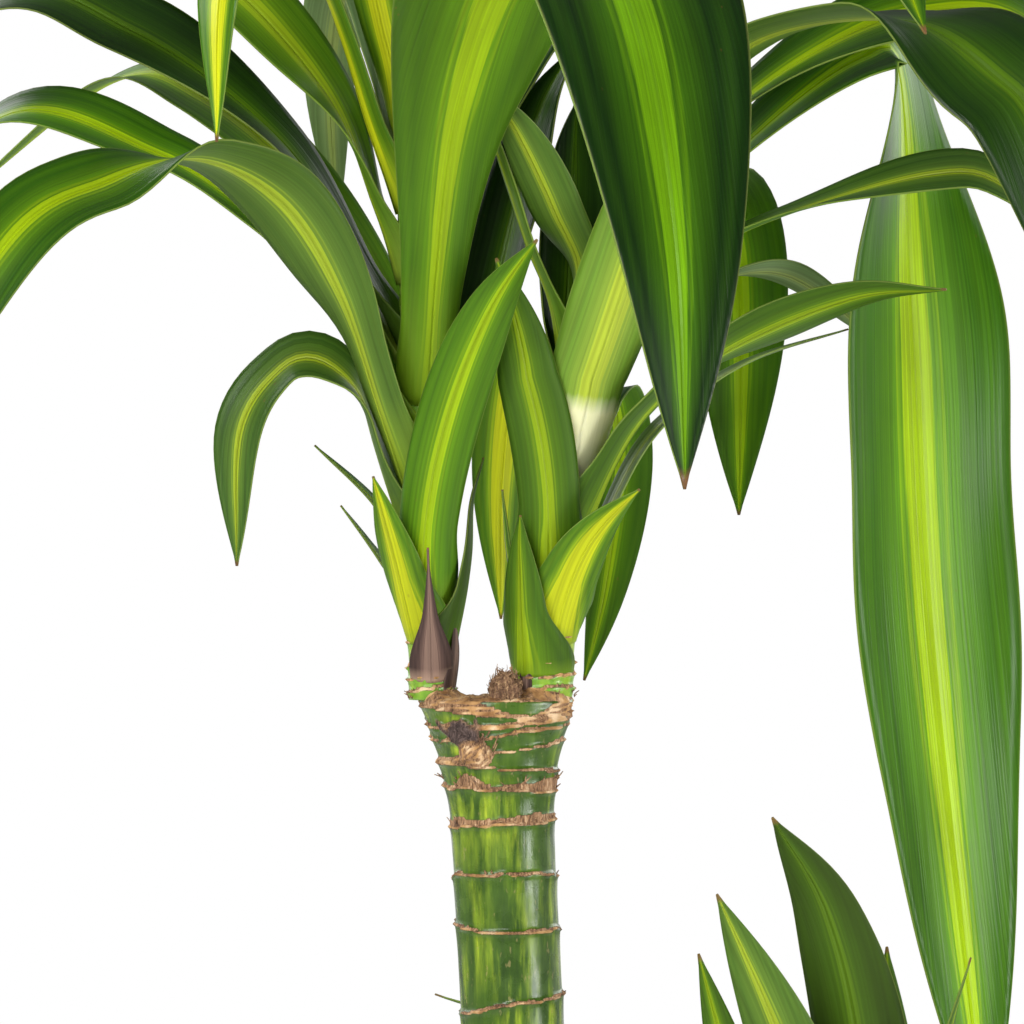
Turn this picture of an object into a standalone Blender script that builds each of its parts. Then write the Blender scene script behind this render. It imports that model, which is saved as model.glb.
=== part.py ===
"""A potted corn plant (Dracaena fragrans): a nursery pot of soil, a forked cane with two leafy shoots, and a
second, lower plant beside it. Lengths are in millimetres and are turned into metres as each mesh is made."""

import math

import bmesh
import bpy
from mathutils import Matrix, Vector

MM = 0.001
GAP = 0.3  # clear space between pieces that touch

POT_HEIGHT = 220
POT_RIM_RADIUS = 120
POT_BASE_RADIUS = 97
POT_WALL = 3
LIP_HEIGHT = 22
LIP_OUT = 4
POT_CORNER = 3  # the rounding of its lower edge
LIP_EDGE = 1  # the rounding of its lip
POT_STEPS = 48
DRAIN_HOLES = 6
DRAIN_HOLE_RADIUS = 6
DRAIN_CIRCLE_RADIUS = 72
DRAIN_SIDES = 16

SOIL_TOP = 205
SOIL_FLAT_RADIUS = 80
SOIL_EDGE_DROP = 3  # the soil is lower at the pot's wall
SOIL_CROWN = 2  # and highest in the middle
ROOT_DEPTH = 60  # how far each stem goes into the soil
STEM_HOLE_SLACK = 1.5 * GAP
STEM_HOLE_SIDES = 24
CUTTER_RISE = 20  # how far a cutter reaches past the soil's top

FORK = Vector((-55, 0, 725))  # the cane's flat top, where the two shoots stand
CANE_FOOT = Vector((-25, 0, SOIL_TOP - ROOT_DEPTH))
CANE_RADIUS = 16
CANE_SIDES = 18
FLARE_HEIGHT = 42  # the cane widens over this height under the fork
FLARE_ACROSS = 8
FLARE_DEEP = 1.5
SCAR_SPACING = 19
SCAR_HEIGHT = 0.9
SCAR_HALF = 2
SCAR_MARGIN = 12  # no scar is nearer than this to the soil or the fork
CANE_TOP = [(6, 0), (2, -1), (0, -3)]  # depth under the fork and change of radius

STEM_SIDES = 16
STEM_STATION = 14
STUB_PLACE = (3, -11.5)  # from the fork, on the cane's top
STUB_RINGS = [(4.5, 0), (5.5, 1.5), (5.5, 4), (4, 6.5), (2, 7.5)]  # radius and height
ROUND_SIDES = 12

LEAF_THICKNESS = 1.2
LEAF_STATION = 23  # spacing of the cross-sections along a leaf
ACROSS = 4  # flat panels across a leaf
CLASP = math.radians(150)  # how far a leaf's base goes round its stem
CHANNEL = math.radians(34)  # the shallow trough of an open blade
TIP_WIDTH = 1.6
FOOT_SHARE = 0.9  # the most of a leaf's width that its foot has
FOOT_LENGTH = 25  # about the length of a leaf before the first point that it passes through
LEAST_STEPS = 5
LEAST_SLOPE = 0.05
WIDEST = 0.45  # where a blade is widest, as a share of its length
NECK = 1.3  # a higher value makes the narrow part over the foot longer
SWELL = 1.7
TIP_TAPER = 2.4
BRACT_TAPER = 2.2

# The middle line of each stem, as (x, y, height) from the fork, and its radius at the foot and at the top.
STEMS = {
    "left_shoot": ([(-20, 0, 0.4), (-22, 0, 60), (-25, 0, 130), (-28, 0, 208)], 6.8, 4.2),
    "right_shoot": ([(14, 0, 0.4), (18, 0, 50), (25, 0, 100), (42, 0, 157), (58, 0, 218)], 9.4, 4.2),
    "low_stem": ([(118, -10, -580), (122, -10, -400), (125, -10, -238)], 9.0, 4.5),
}

# One row for each leaf: name, height of its base from the fork, heading (0 is +X, 90 is +Y), greatest width,
# rolls at equal steps from its level base to its tip, sideways drift of the tip, and the reach and height it
# passes through.
LEAVES = {
    "left_shoot": [
        ("left_dry_sheath", 6, -88, 14, (0, 0), 0, [(13, 22), (16, 48)]),
        ("left_bract_1", 14, -8, 15, (0, 0), 0, [(13.5, 44), (15, 62), (19, 76)]),
        ("left_bract_2", 18, 230, 21, (0, 0), 0, [(14, 42), (24, 70)]),
        ("left_bract_3", 31, 163, 8, (0, 0), 0, [(17, 46), (28, 61)]),
        ("left_bract_4", 46, 155, 9, (0, 0), 0, [(18, 62), (38, 80)]),
        ("left_leaf_1", 27, -99, 21, (0, 0), 46, [(13, 55), (19.6, 92), (30, 121), (48, 141)]),
        (
            "left_leaf_2", 64, 218, 29, (0, 42, 10, -35, -45, -45, -40), 0,
            [(16.2, 92), (29, 126), (50, 154), (80, 166), (112, 158), (150, 136), (200, 55)],
        ),
        (
            "left_leaf_3", 84, 156, 29, (-15, -30, -30), 0,
            [(15, 110), (34, 132), (50, 149), (90, 174), (150, 186), (215, 110)],
        ),
        (
            "left_leaf_4", 110, 166, 34, (-35, -40), 0,
            [(18, 136), (42, 176), (90, 212), (140, 222), (240, 160)],
        ),
        (
            "left_leaf_5", 100, 132, 26, (-20, -30), 0,
            [(17, 128), (48, 162), (100, 194), (150, 204), (240, 168)],
        ),
        ("left_leaf_6", 176, 245, 22, (0, 0), 0, [(14, 204), (45, 250), (88, 254), (120, 215), (124, 166)]),
        (
            "left_leaf_7", 166, 108, 24, (0, 0), -12,
            [(14, 192), (45, 228), (85, 232), (112, 203), (120, 156)],
        ),
        (
            "left_leaf_8", 130, 190, 28, (-60, -40), 0,
            [(12, 154), (26, 190), (60, 226), (95, 232), (150, 210)],
        ),
        (
            "left_leaf_9", 152, 204, 26, (-25, -30), 0,
            [(14, 180), (28, 222), (57, 268), (90, 285), (145, 262)],
        ),
        (
            "left_leaf_10", 92, -71, 68, (0, 0), 0,
            [(20, 132), (45, 178), (95, 218), (150, 232), (205, 195), (235, 130), (242, 65)],
        ),
        (
            "left_leaf_11", 120, 44, 30, (20, 20), 0,
            [(15, 150), (32, 185), (58, 216), (95, 236), (140, 225)],
        ),
        (
            "left_leaf_12", 62, 30, 30, (10, 15, 15), 0,
            [(15, 86), (26, 122), (37, 157), (48, 188), (62, 208)],
        ),
        (
            "left_leaf_13", 188, 132, 34, (0, 0), 0,
            [(14, 216), (42, 250), (92, 280), (145, 297), (250, 262)],
        ),
        (
            "left_leaf_15", 49, 172, 21, (0, -50, -70, -70), 0,
            [(15, 80), (20, 97), (32, 107), (44, 104), (57, 84), (58, 42)],
        ),
        ("left_leaf_14", 197, 84, 34, (0, 0), 0, [(14, 226), (34, 258), (72, 290), (130, 304), (225, 255)]),
    ],
    "right_shoot": [
        ("right_bract_1", 8, -125, 19, (0, 0), 0, [(15, 32), (20, 58)]),
        ("right_bract_2", 18, -74, 24, (0, 0), 16, [(15, 40), (21, 54), (31, 66)]),
        ("right_bract_3", 26, 196, 7, (0, 0), 0, [(14, 44), (19, 66)]),
        ("right_leaf_1", 33, -92, 21, (0, 0), -35, [(15.6, 60), (19.7, 98), (27, 137)]),
        (
            "right_leaf_2", 48, -19, 22, (0, -32, -20), 2,
            [(17, 76), (28, 94), (49, 111), (82, 125), (110, 127)],
        ),
        ("right_leaf_3", 32, 24, 10, (0, 0), -12, [(17, 58), (25, 79), (36, 92), (56, 107), (84, 117)]),
        ("right_leaf_4", 70, 71, 21, (0, 0), 18, [(15, 88), (40, 98), (62, 76), (67, 36), (64, 4)]),
        ("right_leaf_5", 90, 112, 23, (0, 0), 0, [(14, 106), (36, 116), (62, 108), (76, 70), (76, 24)]),
        ("right_leaf_6", 67, -74, 30, (0, 0), 0, [(16.5, 98), (21, 126), (24, 152), (28, 178), (33, 199)]),
        ("right_leaf_7", 106, 193, 13, (0, 0), 0, [(17, 126), (31, 146), (58, 190)]),
        ("right_leaf_8", 97, 125, 24, (-10, -10), 0, [(14, 116), (24, 140), (34, 165), (44, 190)]),
        (
            "right_leaf_9", 118, -148, 19, (25, 25), 0,
            [(12, 136), (26, 152), (41, 169), (53, 181), (63, 188)],
        ),
        (
            "right_leaf_10", 117, 54, 32, (-30, -60), 0,
            [(15, 138), (32, 158), (51, 157), (61, 130), (60, 58)],
        ),
        (
            "right_leaf_11", 154, 16, 34, (40, 40), 0,
            [(16, 175), (46, 203), (80, 218), (120, 212), (165, 150)],
        ),
        (
            "right_leaf_12", 112, -2, 20, (10, 45, 45), -16,
            [(14, 130), (45, 150), (92, 164), (116, 159), (150, 128)],
        ),
        (
            "right_leaf_13", 164, -46, 40, (0, 0, 50, 60, 60), 0,
            [(13, 186), (42, 205), (96, 206), (130, 188), (150, 166), (178, 92)],
        ),
        (
            "right_leaf_14", 132, 20, 66, (80, 85), 0,
            [(16, 152), (42, 184), (65, 203), (78, 200), (83, 125), (89, 20), (109, -150)],
        ),
        ("right_leaf_15", 104, 22, 14, (-5, -30, -30), 0, [(17, 118), (34, 131), (62, 134), (96, 112)]),
        (
            "right_leaf_16", 184, 12, 34, (0, 0), 0,
            [(12, 212), (28, 246), (60, 274), (105, 276), (150, 240)],
        ),
        (
            "right_leaf_17", 200, 90, 34, (0, 0), 0,
            [(13, 230), (36, 258), (80, 284), (140, 290), (215, 255)],
        ),
        (
            "right_leaf_18", 204, -72, 34, (0, 0), 0,
            [(14, 230), (42, 254), (90, 262), (140, 246), (195, 190)],
        ),
    ],
    "low_stem": [
        ("low_leaf_1", -250, -125, 33, (15, 30), 0, [(14, -205), (22, -115), (42, -64), (74, -32)]),
        ("low_leaf_2", -266, -142, 31, (25, 45), 0, [(20, -215), (31, -140), (50, -98), (74, -56)]),
        ("low_leaf_3", -286, -160, 26, (30, 50), 0, [(24, -235), (46, -150), (67, -76)]),
        ("low_leaf_4", -276, -82, 11, (0, 60), 11, [(20, -222), (26, -150), (32, -105), (50, -75)]),
        ("low_leaf_5", -241, -104, 22, (0, 15), 0, [(9, -205), (14, -130), (22, -74)]),
        ("low_leaf_6", -296, 160, 17, (20, 20), 0, [(26, -248), (70, -150), (112, -110), (154, -96)]),
        ("low_leaf_7", -306, 15, 22, (0, 0), 0, [(22, -262), (60, -205), (105, -178), (150, -205)]),
        ("low_leaf_8", -316, 104, 22, (0, 0), 0, [(22, -272), (60, -218), (105, -192), (150, -222)]),
        ("low_leaf_9", -326, -28, 20, (0, 0), 0, [(22, -282), (60, -232), (100, -212), (140, -240)]),
    ],
}

# Each rolled new leaf: the stem it stands on, its length, its greatest radius and how far its tip leans.
SPEARS = {
    "left_spear": ("left_shoot", 84, 5.5, (8, -6)),
    "right_spear": ("right_shoot", 80, 5.5, (-10, 2)),
}

# Shares of a spear's length and of its radius there.
SPEAR_SHAPE = [(0, 0.7), (0.15, 0.85), (0.4, 1), (0.7, 0.75), (0.9, 0.4), (1, 0.12)]


def clear_scene():
    for obj in list(bpy.data.objects):
        bpy.data.objects.remove(obj, do_unlink=True)


def new_collection(name):
    collection = bpy.data.collections.new(name)
    bpy.context.scene.collection.children.link(collection)
    return collection


def material(name, colour, roughness):
    made = bpy.data.materials.new(name)
    made.use_nodes = True
    shader = made.node_tree.nodes["Principled BSDF"]
    shader.inputs["Base Color"].default_value = (*colour, 1)
    shader.inputs["Roughness"].default_value = roughness
    shader.inputs["Metallic"].default_value = 0
    return made


def object_from_bmesh(name, shape, collection):
    """Turns a bmesh in millimetres into a smooth-shaded object in metres."""
    bmesh.ops.recalc_face_normals(shape, faces=shape.faces)
    bmesh.ops.scale(shape, vec=(MM, MM, MM), verts=shape.verts)
    mesh = bpy.data.meshes.new(name)
    shape.to_mesh(mesh)
    shape.free()
    mesh.shade_smooth()
    mesh.set_sharp_from_angle(angle=math.radians(35))
    obj = bpy.data.objects.new(name, mesh)
    collection.objects.link(obj)
    return obj


def loft(name, rings, collection):
    """A closed skin through rings of points, capped at both ends."""
    shape = bmesh.new()
    rows = [[shape.verts.new(point) for point in ring] for ring in rings]
    count = len(rows[0])
    for low, high in zip(rows, rows[1:]):
        for i in range(count):
            j = (i + 1) % count
            shape.faces.new((low[i], low[j], high[j], high[i]))
    shape.faces.new(rows[0][::-1])
    shape.faces.new(rows[-1])
    return object_from_bmesh(name, shape, collection)


def turned(name, profile, collection):
    """A body of revolution about Z. The open profile of (radius, height) starts and ends on the axis."""
    shape = bmesh.new()
    points = [shape.verts.new((radius, 0, height)) for radius, height in profile]
    edges = [shape.edges.new(pair) for pair in zip(points, points[1:])]
    around = {"cent": (0, 0, 0), "axis": (0, 0, 1), "angle": math.tau, "steps": POT_STEPS}
    bmesh.ops.spin(shape, geom=points + edges, **around)
    bmesh.ops.remove_doubles(shape, verts=shape.verts, dist=0.01)
    return object_from_bmesh(name, shape, collection)


def cut(obj, cutter):
    modifier = obj.modifiers.new("cut_" + cutter.name, "BOOLEAN")
    modifier.operation = "DIFFERENCE"
    modifier.solver = "EXACT"
    modifier.object = cutter
    cutter.hide_render = True
    cutter.display_type = "WIRE"


def smooth_through(points, per_span=8):
    """Points on a Catmull-Rom curve through the given ones, of two or three coordinates."""
    points = [Vector(p) for p in points]
    ends = [2 * points[0] - points[1], *points, 2 * points[-1] - points[-2]]
    found = []
    for a, b, c, d in zip(ends, ends[1:], ends[2:], ends[3:]):
        for i in range(per_span):
            t = i / per_span
            bend = (2 * a - 5 * b + 4 * c - d) * t**2 + (3 * b - a - 3 * c + d) * t**3
            found.append(0.5 * (2 * b + (c - a) * t + bend))
    return [*found, points[-1]]


def evenly(points, count):
    """The same line as count + 1 points at equal spacing along it."""
    lengths = [0.0]
    for a, b in zip(points, points[1:]):
        lengths.append(lengths[-1] + (b - a).length)
    found = []
    span = 0
    for i in range(count + 1):
        want = lengths[-1] * i / count
        while span < len(points) - 2 and lengths[span + 1] < want:
            span += 1
        step = lengths[span + 1] - lengths[span]
        found.append(points[span].lerp(points[span + 1], (want - lengths[span]) / step))
    return found


def axis_at(stem, height):
    """The stem's middle at a height from the fork."""
    line = STEMS[stem][0]
    height = min(max(height, line[0][2]), line[-1][2])
    for low, high in zip(line, line[1:]):
        if height <= high[2]:
            break
    return Vector(low).lerp(Vector(high), (height - low[2]) / (high[2] - low[2]))


def stem_radius(stem, height):
    line, foot, top = STEMS[stem]
    share = (height - line[0][2]) / (line[-1][2] - line[0][2])
    return foot + (top - foot) * min(max(share, 0), 1)


def round_ring(centre, radius_x, radius_y, count):
    turns = [math.tau * i / count for i in range(count)]
    return [centre + Vector((radius_x * math.cos(a), radius_y * math.sin(a), 0)) for a in turns]


def make_pot(collection, cutters, look):
    lip = POT_HEIGHT - LIP_HEIGHT
    out_slope = (POT_RIM_RADIUS - LIP_OUT - POT_BASE_RADIUS) / lip
    inner_rim = POT_RIM_RADIUS - POT_WALL - LIP_OUT
    pot = turned(
        "pot",
        [
            (0, 0),
            (POT_BASE_RADIUS - POT_CORNER, 0),
            (POT_BASE_RADIUS, POT_CORNER),
            (POT_RIM_RADIUS - LIP_OUT, lip),
            (POT_RIM_RADIUS, lip + LIP_EDGE),
            (POT_RIM_RADIUS + LIP_EDGE, POT_HEIGHT - 2 * LIP_EDGE),
            (POT_RIM_RADIUS - LIP_EDGE, POT_HEIGHT),
            (POT_RIM_RADIUS - 3 * LIP_EDGE, POT_HEIGHT - LIP_EDGE),
            (inner_rim, lip),
            (POT_BASE_RADIUS - POT_WALL + out_slope * POT_WALL, POT_WALL),
            (0, POT_WALL),
        ],
        collection,
    )
    shape = bmesh.new()
    for i in range(DRAIN_HOLES):
        turn = math.tau * i / DRAIN_HOLES
        place = Matrix.Translation(DRAIN_CIRCLE_RADIUS * Vector((math.cos(turn), math.sin(turn), 0)))
        bmesh.ops.create_cone(
            shape,
            cap_ends=True,
            segments=DRAIN_SIDES,
            radius1=DRAIN_HOLE_RADIUS,
            radius2=DRAIN_HOLE_RADIUS,
            depth=4 * POT_WALL,
            matrix=place,
        )
    cut(pot, object_from_bmesh("drain_cutter", shape, cutters))
    pot.data.materials.append(look)


def make_soil(collection, cutters, look):
    floor = POT_WALL + GAP
    lip = POT_HEIGHT - LIP_HEIGHT
    inner_base = POT_BASE_RADIUS - POT_WALL - GAP
    inner_rim = POT_RIM_RADIUS - POT_WALL - LIP_OUT - GAP
    soil = turned(
        "soil",
        [
            (0, floor),
            (inner_base, floor),
            (inner_rim, lip),
            (inner_rim, SOIL_TOP - SOIL_EDGE_DROP),
            (SOIL_FLAT_RADIUS, SOIL_TOP),
            (0, SOIL_TOP + SOIL_CROWN),
        ],
        collection,
    )
    holes = {"cane_hole": (cane_centre, cane_widths), "low_stem_hole": (low_centre, low_widths)}
    for name, (centre, widths) in holes.items():
        rings = []
        for height in (SOIL_TOP - ROOT_DEPTH - GAP, SOIL_TOP + CUTTER_RISE):
            wide, deep = widths(height)
            slack = STEM_HOLE_SLACK
            rings.append(round_ring(centre(height), wide + slack, deep + slack, STEM_HOLE_SIDES))
        cut(soil, loft(name, rings, cutters))
    soil.data.materials.append(look)


def cane_centre(height):
    """The cane's middle at a height over the ground."""
    return CANE_FOOT.lerp(FORK, (height - CANE_FOOT.z) / (FORK.z - CANE_FOOT.z))


def cane_widths(height):
    """The cane's half-widths along X and Y, wider across the fork where the two shoots stand."""
    spread = max(0, 1 - (FORK.z - height) / FLARE_HEIGHT) ** 2
    return CANE_RADIUS + FLARE_ACROSS * spread, CANE_RADIUS + FLARE_DEEP * spread


def low_centre(height):
    return FORK + axis_at("low_stem", height - FORK.z)


def low_widths(height):
    radius = stem_radius("low_stem", height - FORK.z)
    return radius, radius


def make_cane(collection, look):
    heights = [(CANE_FOOT.z, -SCAR_HEIGHT)]
    scar = SOIL_TOP + SCAR_MARGIN
    while scar < FORK.z - SCAR_MARGIN:
        heights += [(scar - SCAR_HALF, 0), (scar, SCAR_HEIGHT), (scar + SCAR_HALF, 0)]
        scar += SCAR_SPACING
    heights += [(FORK.z - depth, change) for depth, change in CANE_TOP]
    rings = []
    for height, ridge in heights:
        wide, deep = cane_widths(height)
        rings.append(round_ring(cane_centre(height), wide + ridge, deep + ridge, CANE_SIDES))
    loft("cane", rings, collection).data.materials.append(look)


def make_stem(stem, collection, look):
    line = STEMS[stem][0]
    steps = int((line[-1][2] - line[0][2]) / STEM_STATION)
    rings = []
    for i in range(steps + 1):
        height = line[0][2] + (line[-1][2] - line[0][2]) * i / steps
        radius = stem_radius(stem, height)
        rings.append(round_ring(FORK + axis_at(stem, height), radius, radius, STEM_SIDES))
    loft(stem, rings, collection).data.materials.append(look)


def make_stub(collection, look):
    """The dead end of the old cane, between the two shoots."""
    centre = FORK + Vector((*STUB_PLACE, GAP))
    rings = []
    for radius, up in STUB_RINGS:
        rings.append(round_ring(centre + Vector((0, 0, up)), radius, radius, ROUND_SIDES))
    loft("cane_stub", rings, collection).data.materials.append(look)


def make_spear(name, stem, length, radius, lean, collection, look):
    foot = FORK + axis_at(stem, math.inf) + Vector((0, 0, GAP))
    rings = []
    for along, share in SPEAR_SHAPE:
        centre = foot + Vector((lean[0] * along**2, lean[1] * along**2, length * along))
        rings.append(round_ring(centre, radius * share, radius * share, ROUND_SIDES))
    loft(name, rings, collection).data.materials.append(look)


def leaf_line(stem, base, heading, drift, route, steps):
    """The leaf's middle line as (point, reach, tangent) at equal steps, measured from the leaning stem."""
    out = Vector((math.cos(heading), math.sin(heading), 0))
    across = Vector((-out.y, out.x, 0))
    clear = stem_radius(stem, base) + GAP + LEAF_THICKNESS / 2
    start = (clear / math.cos(CLASP / ACROSS / 2), base)
    flat = evenly(smooth_through([start, *route]), steps)
    points = []
    highest = base
    for i, (reach, height) in enumerate(flat):
        highest = max(highest, height)
        centre = axis_at(stem, highest)
        centre.z = height
        points.append(FORK + centre + reach * out + drift * (i / steps) ** 2 * across)
    tangents = [(b - a).normalized() for a, b in zip([points[0], *points], [*points[1:], points[-1]])]
    return [(point, reach, tangent) for point, (reach, _), tangent in zip(points, flat, tangents)]


def leaf_width(along, width, foot, short):
    """A blade narrows above its foot, is widest before the middle and ends in a point. A bract tapers."""
    if short:
        return max(TIP_WIDTH, width * (1 - along**BRACT_TAPER))
    if along < WIDEST:
        ease = math.sin(0.5 * math.pi * (along / WIDEST) ** NECK) ** SWELL
        return foot + (width - foot) * ease
    fall = (along - WIDEST) / (1 - WIDEST)
    return max(TIP_WIDTH, width * (1 - fall**TIP_TAPER))


def roll_at(rolls, along):
    """The roll at a share of the leaf's length, eased between the values, from 0 at the base."""
    values = (0, *rolls)
    span = min(int(along * len(rolls)), len(rolls) - 1)
    share = along * len(rolls) - span
    eased = share * share * (3 - 2 * share)
    return values[span] * (1 - eased) + values[span + 1] * eased


def make_leaf(row, stem, collection, look):
    """A curved sheet round the leaf's middle line, with a clasping foot and a shallow channel, made solid."""
    name, base, heading, width, rolls, drift, route = row
    heading = math.radians(heading)
    short = "bract" in name or "sheath" in name
    length = sum((Vector(b) - Vector(a)).length for a, b in zip(route, route[1:])) + FOOT_LENGTH
    steps = max(LEAST_STEPS, round(length / LEAF_STATION))
    line = leaf_line(stem, base, heading, drift, route, steps)
    side = Vector((-math.sin(heading), math.cos(heading), 0))
    foot = min(FOOT_SHARE * width, CLASP * line[0][1])
    shape = bmesh.new()
    rows = []
    for i, (point, reach, tangent) in enumerate(line):
        along = i / steps
        wide = leaf_width(along, width, foot, short)
        ring = reach / max(abs(tangent.z), LEAST_SLOPE)
        curl = min(max(wide / ring, CHANNEL), CLASP)
        turn = Matrix.Rotation(math.radians(roll_at(rolls, along)), 3, tangent)
        level = turn @ (side - side.dot(tangent) * tangent).normalized()
        inward = level.cross(tangent) * -1
        ball = wide / curl
        found = []
        for j in range(ACROSS + 1):
            angle = (j / ACROSS - 0.5) * curl
            aside = ball * math.sin(angle) * level
            found.append(shape.verts.new(point + aside + ball * (1 - math.cos(angle)) * inward))
        rows.append(found)
    for low, high in zip(rows, rows[1:]):
        for j in range(ACROSS):
            shape.faces.new((low[j], low[j + 1], high[j + 1], high[j]))
    leaf = object_from_bmesh(name, shape, collection)
    solid = leaf.modifiers.new("thickness", "SOLIDIFY")
    solid.thickness = LEAF_THICKNESS * MM
    solid.offset = 0
    leaf.data.materials.append(look)


def main():
    clear_scene()
    parts = new_collection("potted_corn_plant")
    cutters = new_collection("cutters")
    green = material("leaf_green", (0.09, 0.2, 0.02), 0.35)
    make_pot(parts, cutters, material("black_plastic", (0.02, 0.02, 0.022), 0.5))
    make_soil(parts, cutters, material("potting_soil", (0.05, 0.032, 0.02), 0.95))
    make_cane(parts, material("cane_bark", (0.06, 0.2, 0.05), 0.4))
    make_stub(parts, material("dead_fibre", (0.2, 0.11, 0.05), 0.85))
    for stem in STEMS:
        make_stem(stem, parts, material(stem + "_skin", (0.12, 0.24, 0.05), 0.4))
        for row in LEAVES[stem]:
            make_leaf(row, stem, parts, green)
    for name, (stem, length, radius, lean) in SPEARS.items():
        make_spear(name, stem, length, radius, lean, parts, green)
    cutters.hide_render = True
    for cutter in cutters.objects:
        cutter.hide_set(True)


main()
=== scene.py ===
"""The potted corn plant as it looks: fine striped leaves, a scarred green cane, torn fibres, loose soil and
a plain nursery pot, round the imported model. The plant's lengths are in millimetres until mesh_object."""

import math
import random

import bmesh
import bpy
from mathutils import Matrix, Vector, noise


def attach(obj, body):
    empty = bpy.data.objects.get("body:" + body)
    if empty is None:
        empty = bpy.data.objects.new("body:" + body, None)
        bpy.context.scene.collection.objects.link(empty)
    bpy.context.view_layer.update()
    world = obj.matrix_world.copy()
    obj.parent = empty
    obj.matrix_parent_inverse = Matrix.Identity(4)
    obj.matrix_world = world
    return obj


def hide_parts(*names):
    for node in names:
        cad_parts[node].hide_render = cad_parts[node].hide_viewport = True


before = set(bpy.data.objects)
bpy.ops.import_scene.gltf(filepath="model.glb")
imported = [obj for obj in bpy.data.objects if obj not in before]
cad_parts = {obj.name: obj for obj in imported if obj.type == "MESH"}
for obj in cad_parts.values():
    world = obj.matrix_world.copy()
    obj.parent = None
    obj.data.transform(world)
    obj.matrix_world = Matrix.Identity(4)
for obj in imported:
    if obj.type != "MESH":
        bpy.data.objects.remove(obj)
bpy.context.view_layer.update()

MM = 0.001
GAP = 0.3
SEED = 7

# The plant's own measures, as part.py has them.
POT_HEIGHT = 220
POT_RIM_RADIUS = 120
POT_BASE_RADIUS = 97
POT_WALL = 3
LIP_HEIGHT = 22
LIP_OUT = 4
DRAIN_HOLES = 6
DRAIN_HOLE_RADIUS = 6
DRAIN_CIRCLE_RADIUS = 72
SOIL_TOP = 205
ROOT_DEPTH = 60
FORK = Vector((-55, 0, 725))
CANE_FOOT = Vector((-25, 0, SOIL_TOP - ROOT_DEPTH))
CANE_RADIUS = 16
CLASP = math.radians(150)
CHANNEL = math.radians(34)
ACROSS = 4
CAD_LEAF_THICKNESS = 1.2
FOOT_SHARE = 0.9
LEAST_SLOPE = 0.05
WIDEST = 0.45
NECK = 1.3
SWELL = 1.7
TIP_TAPER = 2.4
BRACT_TAPER = 2.2
FLARE_HEIGHT = 42
FLARE_ACROSS = 8
FLARE_DEEP = 1.5
STUB_PLACE = Vector((3, -11.5, 0))

# How finely the looks are built.
BLADE_THICKNESS = 0.55
BLADE_STATION = 4
LEAST_STATIONS = 48
SHEATH_WRAP = math.radians(250)  # how far a leaf's foot goes round its stem
SHEATH_SPREAD = 2.0  # the most that a foot is wider than its leaf
DRY_SPREAD = 1.1
SHEATH_HEIGHT = 30
SHORT_SHEATH = 0.75  # of that height, on a bract
SKIN_GAP = 0.25  # between a stem and a foot round it
BLADE_PANELS = 14
BLADE_TIP_WIDTH = 0.7
DRY_TAPER = 1.5
EDGE_WAVE = 0.03  # of the width
WAVE_RUN = 19  # along the leaf, for one radian of the wave
CREASE = 0.022  # of the width
CREASE_HALF = 0.16  # of the half width
SPEAR_TURNS = 1.35 * math.tau  # how far the rolled leaf goes round itself
SPEAR_STEPS = 30
SPEAR_PANELS = 3 * BLADE_PANELS
CANE_ROW = 0.8
CANE_PANELS = 128
STEM_ROW = 0.9
STEM_PANELS = 72
STUB_STEPS = 24
STUB_PANELS = 64
STUB_RADIUS = 5
STUB_HEIGHT = 9.5
STUB_FIBRES = 420
COLLAR_FIBRES = 50
BUD_FIBRES = 24
SOIL_RINGS = 60
SOIL_PANELS = 180
SOIL_CHIPS = 900
PERLITE_SHARE = 0.12
POT_PANELS = 144
POT_CORNER = 3

# The stage, in metres. Each light has its name, place, target, size and power.
FLOOR_HALF = 5.4
CAMERA_PLACE = (-0.05, -1.5, 0.784)
CAMERA_LENS = 168.75
SENSOR_WIDTH = 36
UPPER_PLANT = (-0.05, 0, 0.85)
LIGHTS = [
    ("back_left", (-1.5, 1.5, 1.7), UPPER_PLANT, 1.6, 32),
    ("back_right", (1.5, 1.4, 1.5), UPPER_PLANT, 1.6, 28),
    ("front_left", (-1.2, -1.5, 1.9), UPPER_PLANT, 0.9, 42),
    ("front_right", (1.25, -0.8, 0.6), (0.1, 0, 0.7), 0.45, 14),
    ("front", (-0.5, -2.6, 1.5), UPPER_PLANT, 0.8, 26),
]

# Rings of the cane's torn top, as shares of its radius.
COLLAR_RINGS = [0.99, 0.95, 0.9, 0.84, 0.77, 0.7, 0.62, 0.54, 0.46, 0.38, 0.3, 0.22, 0.14, 0.06]

# Each leaf scar near the fork: its depth under it, tilt towards +X, sag at the front, and the height of the
# torn part above it.
UPPER_SCARS = [
    (2.4, -1.2, -1.5, 3.4),
    (5.8, 1.4, -1.9, 1.3),
    (9.3, 2.4, -1.2, 0.7),
    (15.5, 3.2, -0.2, 0.8),
    (20.5, -1.0, 0.2, 0.5),
    (27, -0.4, 0.2, 3.4),
    (38.3, 1.2, 0.4, 2.0),
    (55, 0.6, 2.0, 0.6),
    (70, -0.8, -1.2, 0.4),
    (94.5, 3.0, 0.8, 0.5),
]
RIBBED_DEPTH = 12  # scars nearer to the fork than this have smooth ribs
RIB_SPACING = 1.5
SCAR_SPACING = 20  # further down, to the soil
SCAR_REACH = 14  # no scar changes the skin further away than this
YOUNG_SCARS = (3, 7, 11, 19, 29, 40, 52)  # heights on a shoot
LOW_STEM_SCAR_SPACING = 13
BUD = (math.radians(-112), 16)  # a brown bud: its turn round the cane and its depth under the fork

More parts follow.
